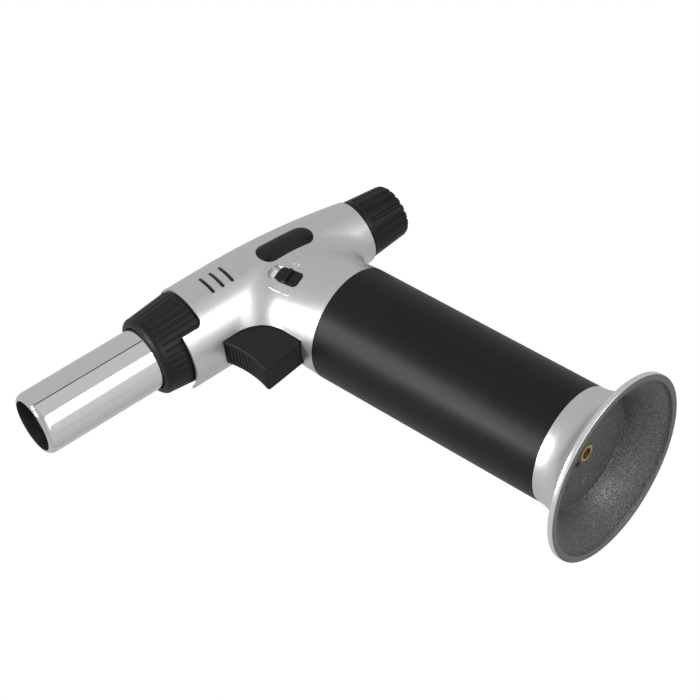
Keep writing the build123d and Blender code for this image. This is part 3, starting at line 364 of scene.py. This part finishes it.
def nozzle_tube():
    """The chromed flame tube: its skin rolls over into a dark mouth."""
    outside, mouth, bore = 10.9, 9.1, 9.9
    tip, back = 96.2, 31.0
    roll = outside - mouth
    lip = [(mouth + roll * math.sin(math.radians(a)), tip - 2.4 + 2.4 * math.cos(math.radians(a)), 0)
           for a in range(90, -1, -6)]
    throat = [(mouth, tip - 0.02, 1), (mouth, tip - 0.5, 1), (mouth, tip - 4.0, 1)]
    inside = [(bore, tip - 5.0, 1), (bore, back, 1)]
    stations = [(outside, back, 0), (outside, 60.0, 0), *lip[:-1], *throat, *inside]
    mesh = lathe("flame_tube", tight(stations), 192, BARREL, loop=True)
    piece = place(mesh, "flame_tube", "torch_body", [CHROME, HEATED])
    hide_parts("nozzle_tube")


def wave(turn, count, width, depth, radius):
    """A rounded groove repeated round a turned piece; width is in mm at that radius."""
    pitch = math.tau / count
    off = abs((turn / pitch + 0.5) % 1.0 - 0.5) * pitch * radius
    return -depth * 0.5 * (1 + math.cos(math.pi * off / width)) if off < width else 0.0


def air_collar():
    """The collar's flutes run the length of its cone and fade before its rounded nose."""
    rear, front, wide, narrow, nose = 35.7, 52.8, 15.35, 13.6, 2.0
    slope = (narrow - wide) / (front - rear)

    def flutes(turn, radius, height):
        fade = min(1.0, max(0.0, (front - nose - 0.4 - height) / 0.9)) if radius > 12.5 else 0.0
        return wave(turn, 36, 0.42, 0.34, radius) * fade

    skin = [(wide - 0.25, rear, 0), (wide, rear + 0.3, 0)]
    skin += [(wide + slope * s, rear + s, 0) for s in (2, 6, 10, 13, 13.8, 14.3)]
    end_r = wide + slope * (front - nose - rear)
    skin += arc((end_r - nose + 0.05, front - nose), nose, 2, 90, 10)
    skin += [(11.4, front, 0), (11.2, front - 0.2, 0), (11.2, 49.3, 0), (12.01, 49.3, 0), (12.01, rear, 0)]
    mesh = lathe("air_ring", tight(skin), 432, BARREL, flutes, loop=True)
    piece = place(mesh, "air_ring", "air_collar", [PLASTIC_BLACK])
    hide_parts("air_collar")


def gas_knob():
    """The knob: a smooth band in front, and raised pads between deep grooves behind it."""
    front, rear, wide, narrow, band, corner = -34.95, -51.4, 10.75, 9.25, 2.6, 2.0
    slope = (wide - narrow) / (front - rear)
    start = front - band

    def grooves(turn, radius, height):
        if radius < 6.5 or height > start:
            return 0.0
        fade = min(1.0, (start - height) / 0.5)
        return plateau(turn, 18, 0.75, 0.30, 0.62, radius) * fade

    skin = [(wide - 0.3, front, 0), (wide, front - 0.3, 0), (wide - slope * 1.5, front - 1.5, 0),
            (wide - slope * (band - 0.05), start + 0.05, 0), (wide - slope * band, start, 0)]
    heights = (start - 0.12, start - 0.25, start - 0.5, start - 0.9, -42, -46)
    skin += [(wide - slope * (front - z), z, 0) for z in heights]
    foot = wide - slope * (front - rear - corner)
    skin += arc((foot - corner, rear + corner), corner, 0, -90, 10)
    skin += [(6.4, rear, 0), (4.0, rear, 0), (3.9, rear + 0.25, 0), (0.02, rear + 0.3, 0)]
    mesh = lathe("knob_skin", skin, 540, BARREL, grooves)
    piece = place(mesh, "knob_skin", "gas_knob", [PLASTIC_BLACK])
    cup = [(wide - 0.3, front, 0), (wide - 1.8, front, 0), (wide - 1.8, front - 9, 0), (0.02, front - 9, 0)]
    hub = lathe("knob_back", cup, 96, BARREL)
    inner = place(hub, "knob_back", "gas_knob", [PLASTIC_BLACK])
    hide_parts("gas_knob")
    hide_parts("gas_knob")


def plateau(turn, count, half, soft, depth, radius):
    """A flat-bottomed groove with softened sides, repeated round a turned piece."""
    pitch = math.tau / count
    off = abs((turn / pitch + 0.5) % 1.0 - 0.5) * pitch * radius
    if off >= half:
        return 0.0
    share = min(1.0, (half - off) / soft)
    return -depth * share * share * (3 - 2 * share)


def base_bell():
    """The flared foot: silver outside, an upright rim in a lighter silver as a painted highlight, a grey ring
    to stand on, and a sanded inside.
    """
    rim, edge, face, step, sleeve, top = 31.9, 1.8, 2.3, 1.2, 20.0, 16.5
    reach, drop = rim - sleeve, top - edge
    bend = (reach ** 2 + drop ** 2) / (2 * reach)
    centre = sleeve + bend

    def flare(height, inset=0.0):
        return centre - math.sqrt((bend + inset) ** 2 - (top - height) ** 2)

    heights = [edge + drop * i / 36 for i in range(1, 37)]
    outside = [(flare(z), z, 0) for z in reversed(heights)]
    # Paint 1, on the upright rim, is the lighter silver: a painted highlight.
    foot = [(flare(edge) - 0.05, edge + 0.05, 1), (rim, edge - 0.2, 1), (rim, 0.35, 1), (rim - 0.1, 0.1, 2),
            (rim - 0.35, 0.0, 2), (rim - face + 0.2, 0.0, 2), (rim - face, 0.2, 3)]
    ledge = [(rim - face, step - 0.15, 3), (rim - face - 0.15, step, 3), (flare(step, 1.5) + 0.1, step, 3)]
    rises = [step + (11.2 - step) * i / 30 for i in range(31)]
    inside = [(flare(z, 1.5), z, 3) for z in rises]
    inner = inside[-1][0]
    spigot = [(inner - 0.15, 11.2, 3), (inner - 0.15, 12.4, 0), (17.4, 12.4, 0), (17.4, 22.0, 0),
              (18.95, 22.0, 0), (18.95, top, 0), (sleeve, top, 0)]
    mesh = lathe("foot_bell", [*outside, *foot, *ledge, *inside, *spigot], 240, HANDLE)
    piece = place(mesh, "foot_bell", "torch_body", [SILVER, SILVER_PAINTED_HIGHLIGHT, RIM, SAND])
    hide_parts("base_bell")


# --- trigger grip, slider ribs and raised marks -----------------------------------------------
def bar(points, radius, name, sides=10):
    """A round-backed bar through points given in metres, with domed ends."""
    curve = bpy.data.curves.new(name, "CURVE")
    curve.dimensions = "3D"
    curve.bevel_depth, curve.bevel_resolution, curve.use_fill_caps = radius * MM, sides // 2, True
    line = curve.splines.new("POLY")
    line.points.add(len(points) - 1)
    for spot, point in zip(line.points, points):
        spot.co = (*point, 1)
        spot.radius = 1.0
    line.points[0].radius = line.points[-1].radius = 0.45
    made = bpy.data.objects.new(name, curve)
    mesh = bpy.data.meshes.new_from_object(made)
    bpy.data.objects.remove(made)
    return mesh


def gather(name, meshes, body, material):
    """One piece from several small meshes."""
    points, faces = [], []
    for mesh in meshes:
        base = len(points)
        points += [v.co.copy() for v in mesh.vertices]
        faces += [[base + i for i in face.vertices] for face in mesh.polygons]
    joined = bpy.data.meshes.new(name)
    joined.from_pydata(points, [], faces)
    joined.polygons.foreach_set("use_smooth", [True] * len(faces))
    joined.update()
    return place(joined, name, body, [material])


def trigger_grip():
    """Fine ribs across the finger face of the trigger, following its hollow."""
    toe, waist, brow = Vector((35.5, 0, 111.0)), Vector((33.6, 0, 120.0)), Vector((34.2, 0, 130.4))
    bars = []
    count = 15
    for i in range(1, count):
        t = i / count
        hollow = waist * 2 - (toe + brow) / 2
        first, last = toe.lerp(hollow, t), hollow.lerp(brow, t)
        spot = first.lerp(last, t) + Vector((0.02, 0, 0))
        span = [spot + Vector((0, y, 0)) for y in (-4.0, -3.6, 0, 3.6, 4.0)]
        bars.append(bar([p * MM for p in span], 0.24, "rib"))
    gather("trigger_grip", bars, "trigger", TRIGGER_BLACK)


LOCK_AT = Vector((6.6, 15.35, 125.3))
LOCK_OUT = Vector((0.288, 0.943, 0.168)).normalized()
LOCK_UP = Vector(LOCK_JOINT["axis"]).normalized()
LOCK_SIDE = LOCK_UP.cross(LOCK_OUT).normalized()


def lock_grip():
    """Fine ribs on the lock slider, on both sides of its middle bar."""
    bars = []
    for along in (-3.9, -3.2, -2.5, -1.8, 1.8, 2.5, 3.2, 3.9):
        half = 2.1 if abs(along) < 3.5 else 1.5
        spot = LOCK_AT + LOCK_UP * along + LOCK_OUT * 0.47
        span = [(spot + LOCK_SIDE * s) * MM for s in (-half, -half + 0.3, half - 0.3, half)]
        bars.append(bar(span, 0.17, "rib"))
    gather("lock_grip", bars, "lock_slider", PLASTIC_BLACK)


def shell_skin():
    """The left shell's surface, to lay raised marks on."""
    mesh = frame["nodes"]["head_shell_left"].data
    return BVHTree.FromPolygons([v.co for v in mesh.vertices], [tuple(p.vertices) for p in mesh.polygons])


def on_shell(skin, side, along, out=0.0):
    """The point of the shell's skin at a place in the lock's face, in mm from its centre."""
    spot = (LOCK_AT + LOCK_SIDE * side + LOCK_UP * along) * MM
    hit = skin.ray_cast(spot + LOCK_OUT * 0.02, -LOCK_OUT)[0]
    return hit + LOCK_OUT * out * MM


def raised_marks():
    """The raised guide line in front of the slider, and a plain padlock mark behind it, in a lighter silver
    that paints a highlight on them.
    """
    skin = shell_skin()
    front = 1 if LOCK_SIDE.x > 0 else -1
    line = [on_shell(skin, front * 5.9, s - 4.5) for s in range(0, 10)]
    bars = [bar(line, 0.24, "line")]
    back = -front * 4.9
    body = [(0.95, -0.9), (0.95, 0.5), (-0.95, 0.5), (-0.95, -0.9), (0.95, -0.9)]
    bars.append(bar([on_shell(skin, back + u, 1.0 + v) for u, v in body], 0.17, "lock_body"))
    turns = [math.radians(a) for a in range(0, 181, 20)]
    hoop = [(0.62 * math.cos(t), 0.55 + 0.95 * math.sin(t)) for t in turns]
    bars.append(bar([on_shell(skin, back + u, 1.0 + v) for u, v in hoop], 0.15, "lock_hoop"))
    # The marks take the lighter silver: a painted highlight.
    gather("raised_marks", bars, "torch_body", SILVER_PAINTED_HIGHLIGHT)


# --- stage, light and camera ------------------------------------------------------------------
CAMERA_AT = Vector((0.35087, 0.50050, -0.25359))
TOWARD_CAMERA = Vector((0.48731, 0.71431, -0.50229)).normalized()
CAMERA_UP = Vector((-0.58253, 0.69443, 0.42240)).normalized()


def camera():
    data = bpy.data.cameras.new("camera")
    data.sensor_width, data.lens, data.clip_start, data.clip_end = 36.0, 111.79, 0.01, 10.0
    eye = bpy.data.objects.new("camera", data)
    bpy.context.scene.collection.objects.link(eye)
    side = CAMERA_UP.cross(TOWARD_CAMERA).normalized()
    up = TOWARD_CAMERA.cross(side)
    eye.matrix_world = Matrix.Translation(CAMERA_AT) @ Matrix((side, up, TOWARD_CAMERA)).transposed().to_4x4()
    bpy.context.scene.camera = eye


def pane(name, middle, facing, along, width, length, material, seen_by_eye=False):
    """A flat stage card facing a direction."""
    facing = facing.normalized()
    across = along.cross(facing).normalized()
    run = facing.cross(across).normalized()
    signs = ((-1, -1), (1, -1), (1, 1), (-1, 1))
    corners = [middle + across * (a * width / 2) + run * (b * length / 2) for a, b in signs]
    mesh = bpy.data.meshes.new(name)
    mesh.from_pydata(corners, [], [(0, 1, 2, 3)])
    card = bpy.data.objects.new(name, mesh)
    bpy.context.scene.collection.objects.link(card)
    card.data.materials.append(material)
    if not seen_by_eye:
        card.visible_camera = card.visible_shadow = card.visible_diffuse = False
        card.visible_transmission = False


def card_light(name, level):
    material = bpy.data.materials.new(name)
    material.use_nodes = True
    tree = material.node_tree
    tree.nodes.clear()
    glow = tree.nodes.new("ShaderNodeEmission")
    glow.inputs["Color"].default_value = (1, 1, 1, 1)
    glow.inputs["Strength"].default_value = level
    out = tree.nodes.new("ShaderNodeOutputMaterial")
    tree.links.new(glow.outputs[0], out.inputs[0])
    return material


def studio():
    """Soft cards round the barrel, seen only in reflections."""
    centre = CROSSING + FORWARD * 0.06
    near = (TOWARD_CAMERA - FORWARD * TOWARD_CAMERA.dot(FORWARD)).normalized()
    top = FORWARD.cross(near).normalized()
    if top.dot(CAMERA_UP) < 0:
        top = -top
    back = -FORWARD * TOWARD_CAMERA.dot(FORWARD)

    def ring_card(name, low, high, level, distance=0.6, length=0.9):
        angle = math.radians((low + high) / 2)
        aim = near * math.cos(angle) + top * math.sin(angle)
        width = 2 * distance * math.tan(math.radians((high - low) / 2))
        middle = centre + (aim * 0.924 + back) * distance / 0.924
        pane(name, middle, -aim, FORWARD, width, length, card_light(name + "_tone", level))

    ring_card("grey_card", 2, 53, 0.58)
    ring_card("black_edge_card", 53.5, 57, 0.01, 0.58)
    ring_card("white_card", -44, -2, 1.25)
    ring_card("pale_card", -88, -46, 0.55)


def world():
    """An even pale studio all round."""
    scene = bpy.context.scene
    scene.world = bpy.data.worlds.new("studio")
    scene.world.use_nodes = True
    tree = scene.world.node_tree
    tree.nodes.clear()
    path = tree.nodes.new("ShaderNodeLightPath")
    lit, seen = tree.nodes.new("ShaderNodeBackground"), tree.nodes.new("ShaderNodeBackground")
    lit.inputs["Strength"].default_value, seen.inputs["Strength"].default_value = 0.50, 1.0
    lit.inputs["Color"].default_value = seen.inputs["Color"].default_value = (1, 1, 1, 1)
    both, out = tree.nodes.new("ShaderNodeMixShader"), tree.nodes.new("ShaderNodeOutputWorld")
    tree.links.new(path.outputs["Is Camera Ray"], both.inputs[0])
    tree.links.new(lit.outputs[0], both.inputs[1])
    tree.links.new(seen.outputs[0], both.inputs[2])
    tree.links.new(both.outputs[0], out.inputs[0])
    scene.view_settings.view_transform = "Standard"
    scene.view_settings.look = "None"


def soft_light(name, at, power, size):
    data = bpy.data.lights.new(name, "AREA")
    data.shape, data.size, data.energy = "DISK", size, power
    lamp = bpy.data.objects.new(name, data)
    bpy.context.scene.collection.objects.link(lamp)
    aim = Vector((0.02, 0, 0.09)) - Vector(at)
    lamp.matrix_world = Matrix.Translation(at) @ aim.to_track_quat("-Z", "Y").to_matrix().to_4x4()
    lamp.visible_camera = False


def floor():
    """A plain pale floor, well below the torch, because the torch is seen from beneath."""
    kit = Kit("pale_floor")
    kit.set(Base_Color=grey(0.86), Roughness=0.9)
    pane("floor", Vector((0, 0, -0.45)), Vector((0, 0, 1)), Vector((0, 1, 0)), 8.0, 8.0, kit.material, True)


camera()
dress_all()
nozzle_tube()
air_collar()
gas_knob()
base_bell()
trigger_grip()
lock_grip()
raised_marks()
studio()
world()
floor()
soft_light("neck", (0.62, 0.16, 0.34), 1.6, 0.12)
soft_light("streak", (0.55, 0.34, 0.46), 1.6, 0.16)
soft_light("belly", (-0.10, 0.50, -0.42), 2.0, 0.30)
